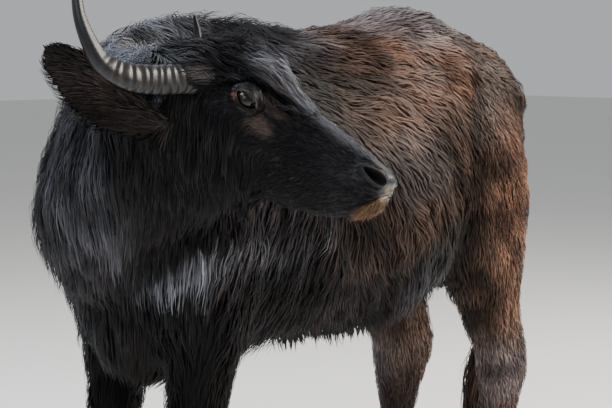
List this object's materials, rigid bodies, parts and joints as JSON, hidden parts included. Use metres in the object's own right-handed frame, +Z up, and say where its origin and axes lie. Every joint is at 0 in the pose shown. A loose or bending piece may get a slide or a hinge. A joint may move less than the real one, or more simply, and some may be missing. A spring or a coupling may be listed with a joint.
{
  "type": "water buffalo",
  "caption": "Life-size still model of a standing shaggy water buffalo cow with her neck bent round to look back over her left shoulder.",
  "frame": {"origin": "middle of the bounding box, on the floor under the hooves", "axes": "+Z up; the trunk points along -Y with the rump at +Y; her left side is +X, and the head is turned towards +X"},
  "size_m": [1.1376, 1.8508, 1.4302],
  "materials": {
    "coat": "long shaggy winter coat, near black on head, neck and belly, dark reddish brown on back and flank, brown on the hind leg",
    "horn": "satin grey horn with growth rings near the base",
    "hoof": "dull dark horn",
    "eye": "wet glossy dark brown"
  },
  "bodies": {
    "root": {"head": "coat", "left_ear": "coat", "left_eye": "eye", "left_foreleg": "coat", "left_foreleg_inner_claw": "hoof", "left_foreleg_inner_dewclaw": "hoof", "left_foreleg_outer_claw": "hoof", "left_foreleg_outer_dewclaw": "hoof", "left_hind_leg": "coat", "left_hind_leg_inner_claw": "hoof", "left_hind_leg_inner_dewclaw": "hoof", "left_hind_leg_outer_claw": "hoof", "left_hind_leg_outer_dewclaw": "hoof", "left_horn": "horn", "neck": "coat", "right_ear": "coat", "right_eye": "eye", "right_foreleg": "coat", "right_foreleg_inner_claw": "hoof", "right_foreleg_inner_dewclaw": "hoof", "right_foreleg_outer_claw": "hoof", "right_foreleg_outer_dewclaw": "hoof", "right_hind_leg": "coat", "right_hind_leg_inner_claw": "hoof", "right_hind_leg_inner_dewclaw": "hoof", "right_hind_leg_outer_claw": "hoof", "right_hind_leg_outer_dewclaw": "hoof", "right_horn": "horn", "tail": "coat", "trunk": "coat"}
  },
  "joints": []
}
